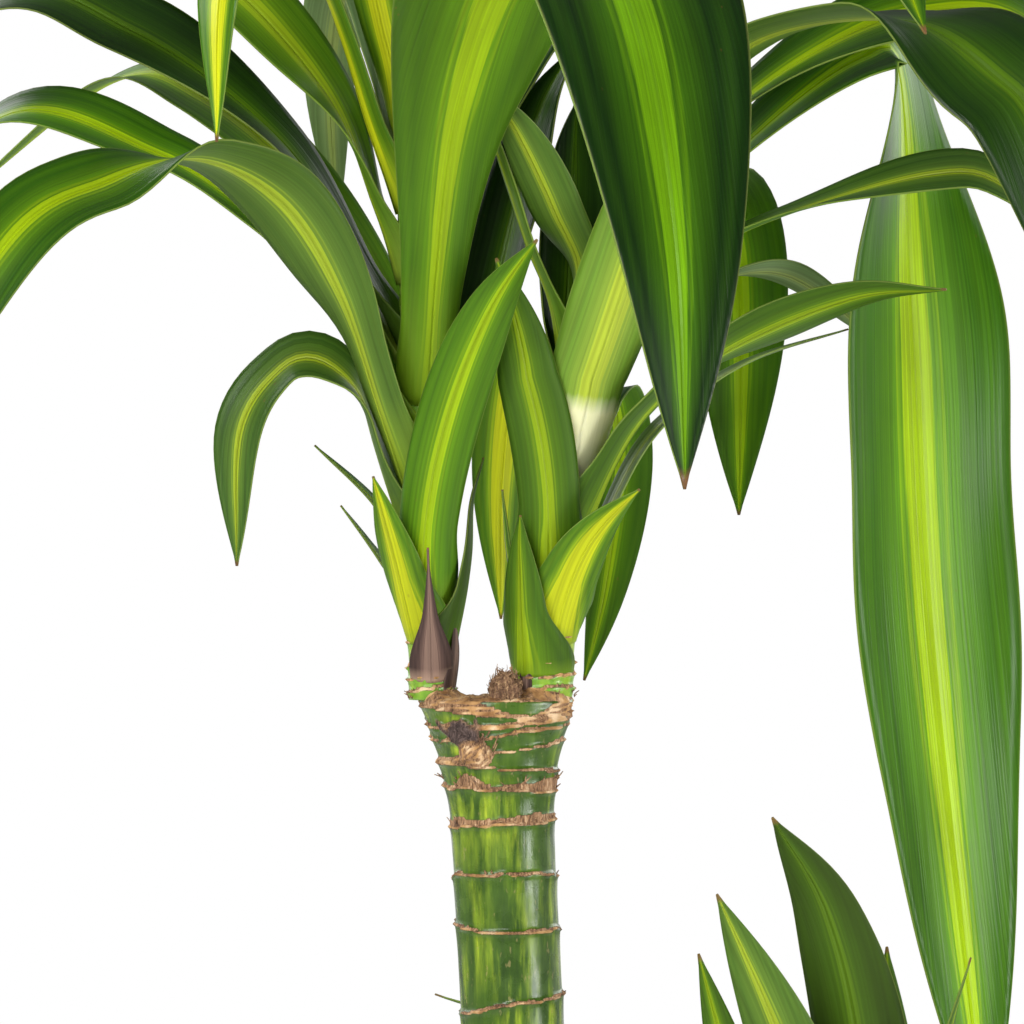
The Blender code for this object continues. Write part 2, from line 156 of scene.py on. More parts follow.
# Slivers of dead sheath: name, stem, height of the base, heading, width, and the reach and height it passes
# through.
DRY_SLIVERS = [
    ("dry_sliver_left", "left_shoot", 2, -25, 8, [(9.5, 14), (9, 27)]),
    ("dry_sliver_right", "right_shoot", 3, 238, 4, [(11.2, 8), (11.5, 14)]),
]

# The middle line of each stem, as (x, y, height) from the fork, and its radius at the foot and at the top.
STEMS = {
    "left_shoot": ([(-20, 0, 0.4), (-22, 0, 60), (-25, 0, 130), (-28, 0, 208)], 6.8, 4.2),
    "right_shoot": ([(14, 0, 0.4), (18, 0, 50), (25, 0, 100), (42, 0, 157), (58, 0, 218)], 9.4, 4.2),
    "low_stem": ([(118, -10, -580), (122, -10, -400), (125, -10, -238)], 9.0, 4.5),
}

# One row for each leaf: name, height of its base from the fork, heading (0 is +X, 90 is +Y), greatest width,
# rolls at equal steps from its level base to its tip, sideways drift of the tip, and the reach and height
# that it passes through.
LEAVES = {
    "left_shoot": [
        ("left_dry_sheath", 6, -88, 14, (0, 0), 0, [(13, 22), (16, 48)]),
        ("left_bract_1", 14, -8, 15, (0, 0), 0, [(13.5, 44), (15, 62), (19, 76)]),
        ("left_bract_2", 18, 230, 21, (0, 0), 0, [(14, 42), (24, 70)]),
        ("left_bract_3", 31, 163, 8, (0, 0), 0, [(17, 46), (28, 61)]),
        ("left_bract_4", 46, 155, 9, (0, 0), 0, [(18, 62), (38, 80)]),
        ("left_leaf_1", 27, -99, 21, (0, 0), 46, [(13, 55), (19.6, 92), (30, 121), (48, 141)]),
        ("left_leaf_2", 64, 218, 29, (0, 42, 10, -35, -45, -45, -40), 0,
         [(16.2, 92), (29, 126), (50, 154), (80, 166), (112, 158), (150, 136), (200, 55)]),
        ("left_leaf_3", 84, 156, 29, (-15, -30, -30), 0,
         [(15, 110), (34, 132), (50, 149), (90, 174), (150, 186), (215, 110)]),
        ("left_leaf_4", 110, 166, 34, (-35, -40), 0,
         [(18, 136), (42, 176), (90, 212), (140, 222), (240, 160)]),
        ("left_leaf_5", 100, 132, 26, (-20, -30), 0,
         [(17, 128), (48, 162), (100, 194), (150, 204), (240, 168)]),
        ("left_leaf_6", 176, 245, 22, (0, 0), 0, [(14, 204), (45, 250), (88, 254), (120, 215), (124, 166)]),
        ("left_leaf_7", 166, 108, 24, (0, 0), -12,
         [(14, 192), (45, 228), (85, 232), (112, 203), (120, 156)]),
        ("left_leaf_8", 130, 190, 28, (-60, -40), 0,
         [(12, 154), (26, 190), (60, 226), (95, 232), (150, 210)]),
        ("left_leaf_9", 152, 204, 26, (-25, -30), 0,
         [(14, 180), (28, 222), (57, 268), (90, 285), (145, 262)]),
        ("left_leaf_10", 92, -71, 68, (0, 0), 0,
         [(20, 132), (45, 178), (95, 218), (150, 232), (205, 195), (235, 130), (242, 65)]),
        ("left_leaf_11", 120, 44, 30, (20, 20), 0,
         [(15, 150), (32, 185), (58, 216), (95, 236), (140, 225)]),
        ("left_leaf_12", 62, 30, 30, (10, 15, 15), 0,
         [(15, 86), (26, 122), (37, 157), (48, 188), (62, 208)]),
        ("left_leaf_13", 188, 132, 34, (0, 0), 0,
         [(14, 216), (42, 250), (92, 280), (145, 297), (250, 262)]),
        ("left_leaf_15", 49, 172, 21, (0, -50, -70, -70), 0,
         [(15, 80), (20, 97), (32, 107), (44, 104), (57, 84), (58, 42)]),
        ("left_leaf_14", 197, 84, 34, (0, 0), 0, [(14, 226), (34, 258), (72, 290), (130, 304), (225, 255)]),
    ],
    "right_shoot": [
        ("right_bract_1", 8, -125, 19, (0, 0), 0, [(15, 32), (20, 58)]),
        ("right_bract_2", 18, -74, 24, (0, 0), 16, [(15, 40), (21, 54), (31, 66)]),
        ("right_bract_3", 26, 196, 7, (0, 0), 0, [(14, 44), (19, 66)]),
        ("right_leaf_1", 33, -92, 21, (0, 0), -35, [(15.6, 60), (19.7, 98), (27, 137)]),
        ("right_leaf_2", 48, -19, 22, (0, -32, -20), 2,
         [(17, 76), (28, 94), (49, 111), (82, 125), (110, 127)]),
        ("right_leaf_3", 32, 24, 10, (0, 0), -12, [(17, 58), (25, 79), (36, 92), (56, 107), (84, 117)]),
        ("right_leaf_4", 70, 71, 21, (0, 0), 18, [(15, 88), (40, 98), (62, 76), (67, 36), (64, 4)]),
        ("right_leaf_5", 90, 112, 23, (0, 0), 0, [(14, 106), (36, 116), (62, 108), (76, 70), (76, 24)]),
        ("right_leaf_6", 67, -74, 30, (0, 0), 0, [(16.5, 98), (21, 126), (24, 152), (28, 178), (33, 199)]),
        ("right_leaf_7", 106, 193, 13, (0, 0), 0, [(17, 126), (31, 146), (58, 190)]),
        ("right_leaf_8", 97, 125, 24, (-10, -10), 0, [(14, 116), (24, 140), (34, 165), (44, 190)]),
        ("right_leaf_9", 118, -148, 19, (25, 25), 0,
         [(12, 136), (26, 152), (41, 169), (53, 181), (63, 188)]),
        ("right_leaf_10", 117, 54, 32, (-30, -60), 0,
         [(15, 138), (32, 158), (51, 157), (61, 130), (60, 58)]),
        ("right_leaf_11", 154, 16, 34, (40, 40), 0,
         [(16, 175), (46, 203), (80, 218), (120, 212), (165, 150)]),
        ("right_leaf_12", 112, -2, 20, (10, 45, 45), -16,
         [(14, 130), (45, 150), (92, 164), (116, 159), (150, 128)]),
        ("right_leaf_13", 164, -46, 40, (0, 0, 50, 60, 60), 0,
         [(13, 186), (42, 205), (96, 206), (130, 188), (150, 166), (178, 92)]),
        ("right_leaf_14", 132, 20, 66, (80, 85), 0,
         [(16, 152), (42, 184), (65, 203), (78, 200), (83, 125), (89, 20), (109, -150)]),
        ("right_leaf_15", 104, 22, 14, (-5, -30, -30), 0, [(17, 118), (34, 131), (62, 134), (96, 112)]),
        ("right_leaf_16", 184, 12, 34, (0, 0), 0,
         [(12, 212), (28, 246), (60, 274), (105, 276), (150, 240)]),
        ("right_leaf_17", 200, 90, 34, (0, 0), 0,
         [(13, 230), (36, 258), (80, 284), (140, 290), (215, 255)]),
        ("right_leaf_18", 204, -72, 34, (0, 0), 0,
         [(14, 230), (42, 254), (90, 262), (140, 246), (195, 190)]),
    ],
    "low_stem": [
        ("low_leaf_1", -250, -125, 33, (15, 30), 0, [(14, -205), (22, -115), (42, -64), (74, -32)]),
        ("low_leaf_2", -266, -142, 31, (25, 45), 0, [(20, -215), (31, -140), (50, -98), (74, -56)]),
        ("low_leaf_3", -286, -160, 26, (30, 50), 0, [(24, -235), (46, -150), (67, -76)]),
        ("low_leaf_4", -276, -82, 11, (0, 60), 11, [(20, -222), (26, -150), (32, -105), (50, -75)]),
        ("low_leaf_5", -241, -104, 22, (0, 15), 0, [(9, -205), (14, -130), (22, -74)]),
        ("low_leaf_6", -296, 160, 17, (20, 20), 0, [(26, -248), (70, -150), (112, -110), (154, -96)]),
        ("low_leaf_7", -306, 15, 22, (0, 0), 0, [(22, -262), (60, -205), (105, -178), (150, -205)]),
        ("low_leaf_8", -316, 104, 22, (0, 0), 0, [(22, -272), (60, -218), (105, -192), (150, -222)]),
        ("low_leaf_9", -326, -28, 20, (0, 0), 0, [(22, -282), (60, -232), (100, -212), (140, -240)]),
    ],
}

# Each rolled new leaf: the stem it stands on, its length, its greatest radius and how far its tip leans.
SPEARS = {
    "left_spear": ("left_shoot", 84, 5.5, (8, -6)),
    "right_spear": ("right_shoot", 80, 5.5, (-10, 2)),
}

# What each leaf looks like, where it isn't "striped". A pair gives the upper and the under face. A few
# looks paint light, shade or sheen into the leaf's colour.
LOOKS = {
    "left_dry_sheath": "dry",
    "left_bract_1": "dark",
    "left_bract_2": "yellow",
    "left_leaf_1": "bright",
    "left_leaf_2": ("striped", "sheen"),
    "left_leaf_4": "dark",
    "left_leaf_3": "bright",
    "left_leaf_5": "light",
    "left_leaf_6": "yellow",
    "left_leaf_7": "grey",
    "left_leaf_8": "light",
    "left_leaf_9": "yellow",
    # Its hanging upper face has painted shade, and its rising under face has painted light.
    "left_leaf_10": ("deep", "bright"),
    "left_leaf_11": "dark",
    "left_leaf_12": "dark",
    "left_leaf_15": "sheen",
    "right_bract_2": "yellow",
    "right_leaf_3": "grey",
    "right_leaf_4": "bright",
    "right_leaf_5": "yellow",
    "right_leaf_6": "pale",
    "right_leaf_7": "light",
    "right_leaf_8": "dark",
    "right_leaf_9": "sheen",
    "right_leaf_10": "bright",
    "right_leaf_12": ("sheen", "bright"),
    "right_leaf_13": ("dark", "sheen"),
    "right_leaf_14": "bright",
    "right_leaf_15": "grey",
    "low_leaf_1": "dark",
    "low_leaf_2": "sheen",
}

# Colours of a leaf from its middle to its edge: stripe, next to it and outer blade, then its foot, and the
# stripe's half-width as a share of the leaf's. Some kinds paint light, shade or sheen into it.
LEAF_COLOURS = {
    "striped": ((0.32, 0.46, 0.003), (0.09, 0.21, 0.003), (0.028, 0.1, 0.002), (0.17, 0.3, 0.01), 0.15),
    # Painted light: a brighter copy of the striped colours, for leaves lit from the front or glowing with
    # light through them.
    "bright": ((0.4, 0.58, 0.003), (0.12, 0.3, 0.002), (0.048, 0.16, 0.001), (0.2, 0.34, 0.01), 0.17),
    "yellow": ((0.62, 0.66, 0.01), (0.22, 0.38, 0.006), (0.06, 0.18, 0.004), (0.34, 0.46, 0.02), 0.34),
    "light": ((0.38, 0.52, 0.02), (0.17, 0.33, 0.015), (0.09, 0.21, 0.01), (0.3, 0.42, 0.05), 0.22),
    # Painted sheen: greyer, paler colours that stand in for light reflected off the blade.
    "sheen": ((0.4, 0.5, 0.03), (0.13, 0.24, 0.03), (0.06, 0.14, 0.018), (0.24, 0.38, 0.02), 0.13),
    # Painted shade: the deep colours paint the shadow on a hanging face turned away from the lights.
    "deep": ((0.15, 0.33, 0.002), (0.04, 0.12, 0.001), (0.005, 0.027, 0.0005), (0.1, 0.2, 0.01), 0.16),
    # Painted shade: a darker copy of the leaf colours, for leaves that lie in shadow.
    "dark": ((0.09, 0.19, 0.004), (0.035, 0.1, 0.003), (0.012, 0.045, 0.002), (0.07, 0.16, 0.008), 0.12),
    "grey": ((0.34, 0.42, 0.14), (0.22, 0.31, 0.14), (0.15, 0.24, 0.1), (0.3, 0.4, 0.12), 0.16),
    "pale": ((0.5, 0.6, 0.05), (0.3, 0.45, 0.05), (0.16, 0.31, 0.03), (0.85, 0.84, 0.62), 0.22),
    "dry": ((0.2, 0.125, 0.095), (0.11, 0.065, 0.052), (0.05, 0.029, 0.024), (0.36, 0.24, 0.17), 0.3),
}


# ---- meshes ----


def link(obj):
    bpy.context.scene.collection.objects.link(obj)


def mesh_object(name, points, faces, materials, node=None):
    """A smooth-shaded piece from points in millimetres, standing for a CAD node if one is named."""
    mesh = bpy.data.meshes.new(name)
    mesh.from_pydata([tuple(point * MM for point in p) for p in points], [], faces)
    mesh.update()
    mesh.shade_smooth()
    for look in materials:
        mesh.materials.append(look)
    obj = bpy.data.objects.new(name, mesh)
    link(obj)
    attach(obj, "root")
    if node:
        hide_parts(node)
    return obj


def skin(rows, closed=True):
    """Faces that join equal rows of points, capped at both ends if the rows are closed rings."""
    count = len(rows[0])
    faces = []
    for r in range(len(rows) - 1):
        for i in range(count if closed else count - 1):
            j = (i + 1) % count
            faces.append((r * count + i, r * count + j, (r + 1) * count + j, (r + 1) * count + i))
    if closed:
        faces.append(tuple(range(count))[::-1])
        faces.append(tuple((len(rows) - 1) * count + i for i in range(count)))
    return [p for row in rows for p in row], faces


def point_values(obj, **named):
    """Stores each list as one value a point, for the materials."""
    for name, values in named.items():
        layer = obj.data.attributes.new(name, "FLOAT", "POINT")
        layer.data.foreach_set("value", values)


def solidify(obj, thickness, second_material=False):
    solid = obj.modifiers.new("thickness", "SOLIDIFY")
    solid.thickness = thickness * MM
    solid.offset = 0
    if second_material:
        solid.material_offset = 1
        solid.material_offset_rim = 1


def outward(turn):
    """The level direction at this turn round a stem."""
    return Vector((math.cos(turn), math.sin(turn), 0))


def bell(x, width):
    return math.exp(-((x / width) ** 2))


def rough(x, y, z, scale):
    """Smooth noise from -1 to 1 whose lumps are about scale millimetres across."""
    return noise.noise(Vector((x, y, z)) / scale)


# ---- lines and widths, as part.py works them out ----


def smooth_through(points, per_span=16):
    points = [Vector(p) for p in points]
    ends = [2 * points[0] - points[1], *points, 2 * points[-1] - points[-2]]
    found = []
    for a, b, c, d in zip(ends, ends[1:], ends[2:], ends[3:]):
        for i in range(per_span):
            t = i / per_span
            square = (2 * a - 5 * b + 4 * c - d) * t**2
            cube = (3 * b - a - 3 * c + d) * t**3
            found.append(0.5 * (2 * b + (c - a) * t + square + cube))
    return [*found, points[-1]]


def evenly(points, count):
    lengths = [0.0]
    for a, b in zip(points, points[1:]):
        lengths.append(lengths[-1] + (b - a).length)
    found = []
    span = 0
    for i in range(count + 1):
        want = lengths[-1] * i / count
        while span < len(points) - 2 and lengths[span + 1] < want:
            span += 1
        step = lengths[span + 1] - lengths[span]
        found.append(points[span].lerp(points[span + 1], (want - lengths[span]) / step))
    return found, lengths[-1]


def axis_at(stem, height):
    line = STEMS[stem][0]
    height = min(max(height, line[0][2]), line[-1][2])
    for low, high in zip(line, line[1:]):
        if height <= high[2]:
            break
    return Vector(low).lerp(Vector(high), (height - low[2]) / (high[2] - low[2]))


def stem_radius(stem, height):
    line, foot, top = STEMS[stem]
    share = (height - line[0][2]) / (line[-1][2] - line[0][2])
    return foot + (top - foot) * min(max(share, 0), 1)


def leaf_width(along, width, foot, short, dry=False):
    if dry:
        return max(BLADE_TIP_WIDTH, width * (1 - along) ** DRY_TAPER)
    if short:
        return max(BLADE_TIP_WIDTH, width * (1 - along**BRACT_TAPER))
    if along < WIDEST:
        ease = math.sin(0.5 * math.pi * (along / WIDEST) ** NECK) ** SWELL
        return foot + (width - foot) * ease
    fall = (along - WIDEST) / (1 - WIDEST)
    return max(BLADE_TIP_WIDTH, width * (1 - fall**TIP_TAPER))


def cane_centre(height):
    return CANE_FOOT.lerp(FORK, (height - CANE_FOOT.z) / (FORK.z - CANE_FOOT.z))


def cane_widths(height):
    spread = max(0, 1 - (FORK.z - height) / FLARE_HEIGHT) ** 2
    return CANE_RADIUS + FLARE_ACROSS * spread, CANE_RADIUS + FLARE_DEEP * spread


# ---- materials ----


class Nodes:
    """Short names for building the node tree of a new material, or of the world."""

    def __init__(self, name, world=None):
        self.material = world or bpy.data.materials.new(name)
        self.material.use_nodes = True
        self.tree = self.material.node_tree
        self.shader = self.tree.nodes.get("Principled BSDF")

    def add(self, kind, inputs=(), **settings):
        node = self.tree.nodes.new("ShaderNode" + kind)
        for key, value in settings.items():
            setattr(node, key, value)
        for socket, value in dict(inputs).items():
            self.feed(node.inputs[socket], value)
        return node

    def feed(self, socket, value):
        """Links another node's output to the socket, or sets a constant. A colour needs no alpha."""
        if isinstance(value, bpy.types.NodeSocket):
            self.tree.links.new(value, socket)
        elif isinstance(value, tuple) and socket.type == "RGBA":
            socket.default_value = (*value, 1)
        else:
            socket.default_value = value

    def place(self):
        return self.add("TexCoord").outputs["Object"]

    def value(self, name):
        """What point_values stored on the mesh under this name."""
        return self.add("Attribute", attribute_name=name).outputs["Fac"]

    def math(self, operation, first, second=0.0):
        return self.add("Math", {0: first, 1: second}, operation=operation).outputs[0]

    def times(self, first, second):
        return self.math("MULTIPLY", first, second)

    def plus(self, first, second):
        return self.math("ADD", first, second)

    def weigh(self, first, second, share):
        """The first one's share of the two, and the rest of the second."""
        return self.plus(self.times(first, share), self.times(second, 1 - share))

    def ramp(self, factor, stops):
        node = self.add("ValToRGB", {"Fac": factor})
        bar = node.color_ramp
        while len(bar.elements) < len(stops):
            bar.elements.new(0.5)
        for element, (place, colour) in zip(bar.elements, stops):
            element.position = place
            element.color = (*colour, 1)
        return node.outputs["Color"]

    def grey_ramp(self, factor, stops):
        return self.ramp(factor, [(place, (grey, grey, grey)) for place, grey in stops])

    def spread(self, factor, low, high):
        """Grey from low to high over the middle of a noise's range."""
        return self.grey_ramp(factor, [(0.3, low), (0.7, high)])

    def mix(self, share, first, second, blend="MIX"):
        node = self.add("Mix", data_type="RGBA", blend_type=blend)
        self.feed(node.inputs["Factor"], share)
        self.feed(node.inputs["A"], first)
        self.feed(node.inputs["B"], second)
        return node.outputs["Result"]

    def noise(self, vector, scale, detail=4.0, spread=0.5):
        inputs = {"Vector": vector, "Scale": scale, "Detail": detail, "Roughness": spread}
        return self.add("TexNoise", inputs).outputs["Fac"]

    def stretched(self, vector, scale):
        return self.add("Mapping", {"Vector": vector, "Scale": scale}).outputs["Vector"]

    def streaked(self, vector, scale, detail, spread=0.5):
        return self.noise(self.stretched(vector, scale), 1.0, detail, spread)

    def bump(self, height, distance, strength=1.0, normal=None):
        inputs = {"Height": height, "Distance": distance, "Strength": strength}
        if normal:
            inputs["Normal"] = normal
        return self.add("Bump", inputs).outputs["Normal"]

    def principled(self, **values):
        for key, value in values.items():
            self.feed(self.shader.inputs[key.replace("_", " ")], value)


def leaf_material(kind, under):
    """A blade's upper or under face, by the UV maps that add_blade_maps makes."""
    stripe, beside, outer, foot, half = LEAF_COLOURS[kind]
    n = Nodes(f"leaf_{kind}_{'under' if under else 'upper'}")
    blade = n.add("SeparateXYZ", {0: n.add("UVMap", uv_map="blade").outputs[0]})
    grain = n.add("UVMap", uv_map="grain").outputs[0]
    across, along = blade.outputs["X"], blade.outputs["Y"]
    from_middle = n.times(n.math("ABSOLUTE", n.math("SUBTRACT", across, 0.5)), 2.0)
    streaks = n.streaked(grain, (34, 0.5, 1), 5, 0.6)
    veins = n.streaked(grain, (130, 0.8, 1), 2, 0.5)
    clouds = n.streaked(grain, (6, 1.6, 1), 3)
    place = n.plus(from_middle, n.times(n.math("SUBTRACT", streaks, 0.5), 0.2))
    colour = n.ramp(
        place,
        [
            (0.0, stripe),
            (half, stripe),
            (half + 0.025, beside),
            (half + 0.09, [0.55 * a + 0.45 * b for a, b in zip(beside, stripe)]),
            (half + 0.12, beside),
            (0.66, outer),
            (0.8, [0.75 * a + 0.25 * b for a, b in zip(outer, beside)]),
            (0.9, outer),
        ],
    )
    colour = n.mix(0.8, colour, n.spread(veins, 0.68, 1.2), "MULTIPLY")
    colour = n.mix(0.75, colour, n.spread(clouds, 0.78, 1.18), "MULTIPLY")
    edge = n.grey_ramp(from_middle, [(0.975, 0.0), (1.0, 0.4)])
    rim = (0.14, 0.09, 0.07) if kind == "dry" else (0.42, 0.5, 0.12)
    colour = n.mix(edge, colour, rim)
    foot_ramp = [(0.2, 1.0), (0.24, 0.0)] if kind == "pale" else [(0.02, 0.9), (0.13, 0.0)]
    foot_share = n.grey_ramp(n.plus(along, n.times(streaks, 0.05)), foot_ramp)
    colour = n.mix(foot_share, colour, foot)
    burnt = n.grey_ramp(n.plus(along, n.times(streaks, 0.012)), [(0.992, 0.0), (1.0, 1.0)])
    colour = n.mix(burnt, colour, (0.2, 0.1, 0.04))
    cells = n.add("TexVoronoi", {"Vector": n.stretched(grain, (22, 12, 1)), "Scale": 1.0})
    where = n.grey_ramp(n.noise(grain, 1.7), [(0.55, 0.0), (0.7, 1.0)])
    dots = n.times(n.grey_ramp(cells.outputs["Distance"], [(0.04, 1.0), (0.09, 0.0)]), where)
    colour = n.mix(n.times(dots, 0.7), colour, (0.22, 0.08, 0.03))
    if under and kind != "dry":
        colour = n.mix(0.14, colour, (0.24, 0.36, 0.04))
    relief = n.plus(n.times(veins, 0.6), streaks)
    middle_rib = n.grey_ramp(from_middle, [(0.0, 0.0), (0.05, 1.0)])
    normal = n.bump(relief, 0.00035, 0.55)
    normal = n.bump(middle_rib, 0.0006, 0.7, normal)
    low, high = (0.42, 0.56) if under else (0.27, 0.42)
    if kind == "dry":
        low, high = 0.7, 0.85
    sheen = n.weigh(clouds, veins, 0.6)
    roughness = n.spread(sheen, low, high)
    gloss = 0.2 if under else 0.26
    n.principled(Base_Color=colour, Roughness=roughness, Normal=normal, Specular_IOR_Level=gloss)
    through = n.mix(1.0, colour, (1.3, 1.2, 0.4), "MULTIPLY")
    shine_through = n.add("BsdfTranslucent", {"Color": through, "Normal": normal}).outputs[0]
    share = 0.1 if kind == "dry" else 0.38
    mixed = n.add("MixShader", {0: share, 1: n.shader.outputs[0], 2: shine_through})
    n.feed(n.tree.nodes["Material Output"].inputs["Surface"], mixed.outputs[0])
    return n.material


def bark_material(name, young=False):
    """Green skin with yellow-green streaks. The mesh's own scar value turns it to brown, cracked cork."""
    n = Nodes(name)
    place = n.place()
    scar = n.value("scar")
    patch = n.value("patch")
    streaks = n.streaked(place, (220, 220, 26), 5, 0.6)
    fine = n.streaked(place, (900, 900, 90), 4, 0.6)
    mottle = n.noise(place, 160, 4)
    greens = [(0.3, (0.014, 0.038, 0.003)), (0.5, (0.038, 0.085, 0.005)), (0.7, (0.085, 0.155, 0.01))]
    if young:
        greens = [(0.3, (0.07, 0.18, 0.012)), (0.5, (0.14, 0.28, 0.02)), (0.7, (0.26, 0.4, 0.04))]
    green = n.ramp(n.weigh(streaks, mottle, 0.7), greens)
    yellow = n.ramp(fine, [(0.3, (0.16, 0.28, 0.01)), (0.7, (0.42, 0.5, 0.03))])
    in_streaks = n.times(patch, n.grey_ramp(streaks, [(0.42, 0.0), (0.64, 0.9)]))
    colour = n.mix(in_streaks, green, yellow)
    flecks = n.grey_ramp(n.streaked(place, (700, 700, 260), 2), [(0.66, 0.0), (0.72, 0.8)])
    colour = n.mix(n.times(flecks, 0.5), colour, (0.3, 0.24, 0.1))
    cork_grain = n.streaked(place, (1500, 1500, 330), 6, 0.7)
    cork = n.ramp(
        n.weigh(cork_grain, mottle, 0.7),
        [
            (0.32, (0.025, 0.012, 0.008)),
            (0.43, (0.12, 0.06, 0.03)),
            (0.54, (0.36, 0.2, 0.1)),
            (0.68, (0.72, 0.52, 0.33)),
        ],
    )
    ragged = n.plus(scar, n.times(n.math("SUBTRACT", cork_grain, 0.5), 0.7))
    share = n.grey_ramp(ragged, [(0.44, 0.0), (0.52, 1.0)])
    # A dark band at the edge of each scar's cork, just under its pale line: painted shadow under the torn
    # tissue.
    rim = n.grey_ramp(ragged, [(0.3, 0.0), (0.43, 0.8), (0.5, 0.0)])
    colour = n.mix(rim, colour, (0.05, 0.03, 0.01))
    colour = n.mix(share, colour, cork)
    pale_edge = n.value("edge")
    tan = n.ramp(mottle, [(0.33, (0.2, 0.09, 0.03)), (0.5, (0.5, 0.28, 0.11)), (0.66, (0.78, 0.56, 0.34))])
    colour = n.mix(n.grey_ramp(pale_edge, [(0.35, 0.0), (0.6, 1.0)]), colour, tan)
    husk = n.value("husk")
    scales = [(0.35, (0.018, 0.012, 0.01)), (0.5, (0.07, 0.045, 0.038)), (0.7, (0.2, 0.14, 0.12))]
    colour = n.mix(husk, colour, n.ramp(cork_grain, scales))
    normal = n.bump(n.times(cork_grain, share), 0.0011, 0.8)
    normal = n.bump(streaks, 0.0003, 0.4, normal)
    normal = n.bump(fine, 0.00008, 0.5, normal)
    roughness = n.mix(share, n.spread(mottle, 0.2, 0.36), (0.9, 0.9, 0.9))
    n.principled(Base_Color=colour, Roughness=roughness, Normal=normal, Specular_IOR_Level=0.32)
    return n.material


def fibre_material():
    n = Nodes("dead_fibre")
    place = n.place()
    grain = n.streaked(place, (900, 900, 300), 5, 0.7)
    browns = [(0.3, (0.03, 0.016, 0.01)), (0.47, (0.16, 0.08, 0.04))]
    browns += [(0.6, (0.36, 0.22, 0.11)), (0.75, (0.6, 0.44, 0.26))]
    colour = n.ramp(grain, browns)
    n.principled(Base_Color=colour, Roughness=0.88, Normal=n.bump(grain, 0.0006, 0.8))
    return n.material


def soil_material():
    n = Nodes("potting_mix")
    place = n.place()
    lumps = n.noise(place, 120, 6, 0.65)
    crumbs = n.noise(place, 700, 5, 0.7)
    browns = [(0.3, (0.012, 0.008, 0.006)), (0.5, (0.035, 0.022, 0.014)), (0.72, (0.08, 0.05, 0.03))]
    colour = n.ramp(lumps, browns)
    colour = n.mix(0.7, colour, n.spread(crumbs, 0.55, 1.5), "MULTIPLY")
    threads = n.grey_ramp(n.streaked(place, (1400, 260, 900), 3), [(0.68, 0.0), (0.73, 1.0)])
    colour = n.mix(n.times(threads, 0.6), colour, (0.16, 0.1, 0.05))
    normal = n.bump(crumbs, 0.0012, 0.9, n.bump(lumps, 0.002, 0.8))
    roughness = n.spread(crumbs, 0.8, 0.98)
    n.principled(Base_Color=colour, Roughness=roughness, Normal=normal)
    return n.material


def chip_material():
    """Bark chips and perlite, told apart by a value on the mesh."""
    n = Nodes("bark_chips_and_perlite")
    place = n.place()
    grain = n.noise(place, 900, 5, 0.65)
    browns = [(0.3, (0.03, 0.016, 0.009)), (0.55, (0.11, 0.058, 0.03)), (0.75, (0.22, 0.13, 0.07))]
    perlite = n.ramp(grain, [(0.3, (0.5, 0.48, 0.44)), (0.7, (0.8, 0.78, 0.74))])
    colour = n.mix(n.value("perlite"), n.ramp(grain, browns), perlite)
    roughness = n.spread(grain, 0.78, 0.95)
    n.principled(Base_Color=colour, Roughness=roughness, Normal=n.bump(grain, 0.0007, 0.8))
    return n.material


def pot_material():
    n = Nodes("nursery_pot_plastic")
    place = n.place()
    stipple = n.noise(place, 1600, 3)
    scuffs = n.streaked(place, (60, 60, 420), 5, 0.65)
    dust = n.noise(place, 22, 5, 0.6)
    colour = n.ramp(dust, [(0.35, (0.014, 0.014, 0.016)), (0.7, (0.036, 0.034, 0.033))])
    scratched = n.grey_ramp(scuffs, [(0.62, 0.0), (0.7, 0.35)])
    colour = n.mix(scratched, colour, (0.09, 0.088, 0.085))
    roughness = n.grey_ramp(n.weigh(dust, scuffs, 0.6), [(0.35, 0.38), (0.7, 0.62)])
    normal = n.bump(stipple, 0.00012, 0.5)
    n.principled(Base_Color=colour, Roughness=roughness, Normal=n.bump(scuffs, 0.0002, 0.4, normal))
    return n.material


# ---- pieces ----


def roll_at(rolls, along):
    values = (0, *rolls)
    span = min(int(along * len(rolls)), len(rolls) - 1)
    eased = settle(along * len(rolls) - span)
    return values[span] * (1 - eased) + values[span + 1] * eased


def settle(x):
    """0 to 1, easing in and out."""
    x = min(max(x, 0), 1)
    return x * x * (3 - 2 * x)


